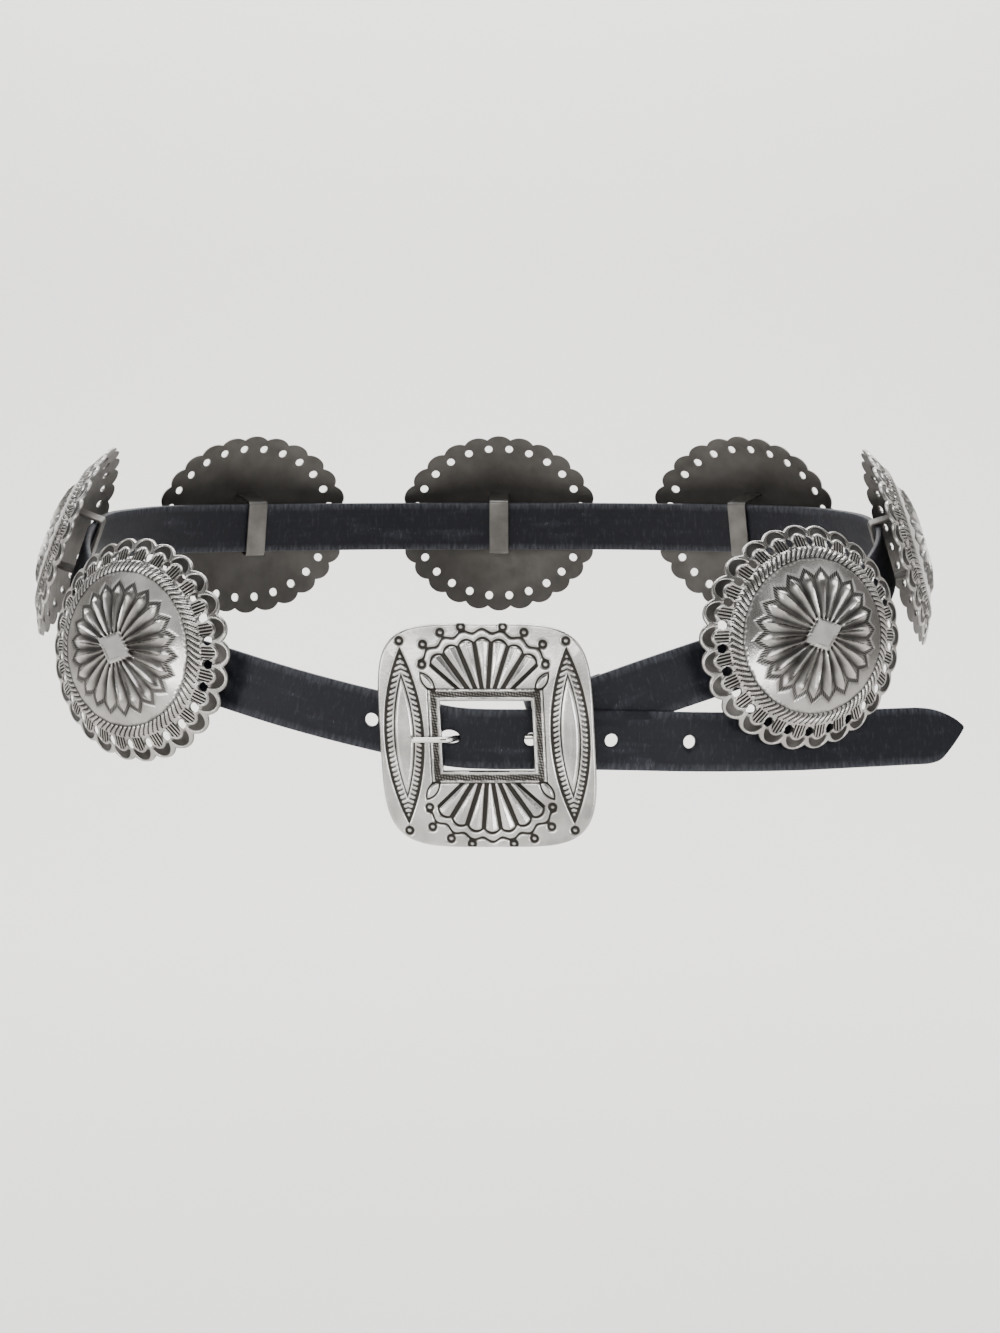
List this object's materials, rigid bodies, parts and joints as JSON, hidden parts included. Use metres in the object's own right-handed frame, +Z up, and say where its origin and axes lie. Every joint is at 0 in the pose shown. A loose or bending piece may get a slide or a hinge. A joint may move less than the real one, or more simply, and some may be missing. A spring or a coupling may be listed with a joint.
{
  "type": "concho belt",
  "caption": "Leather belt in its worn, buckled form, threaded with domed scalloped oval metal plaques and closed by a square window-plate buckle with a tongue.",
  "frame": {"origin": "middle of the worn loop, level with the middle of the buckle, where the hips of the wearer hold it", "axes": "+Z up the wearer's body, -Y the front with the buckle, +X the wearer's left with the free strap end"},
  "size_m": [0.3768, 0.2573, 0.151],
  "materials": {
    "concho_silver": "oxidised silver, satin with dark recesses",
    "buckle_silver": "worn polished silver with dark recesses",
    "tongue_silver": "polished wire",
    "strap_leather": "aged black leather, slightly glossy, finely creased",
    "rivet_brass": "dull"
  },
  "bodies": {
    "root": {"strap": "strap_leather", "buckle_plate": "buckle_silver", "buckle_tongue": "tongue_silver", "fold_rivet": "rivet_brass", "concho_1": "concho_silver", "concho_2": "concho_silver", "concho_3": "concho_silver", "concho_4": "concho_silver", "concho_5": "concho_silver", "concho_6": "concho_silver", "concho_7": "concho_silver"}
  },
  "joints": []
}
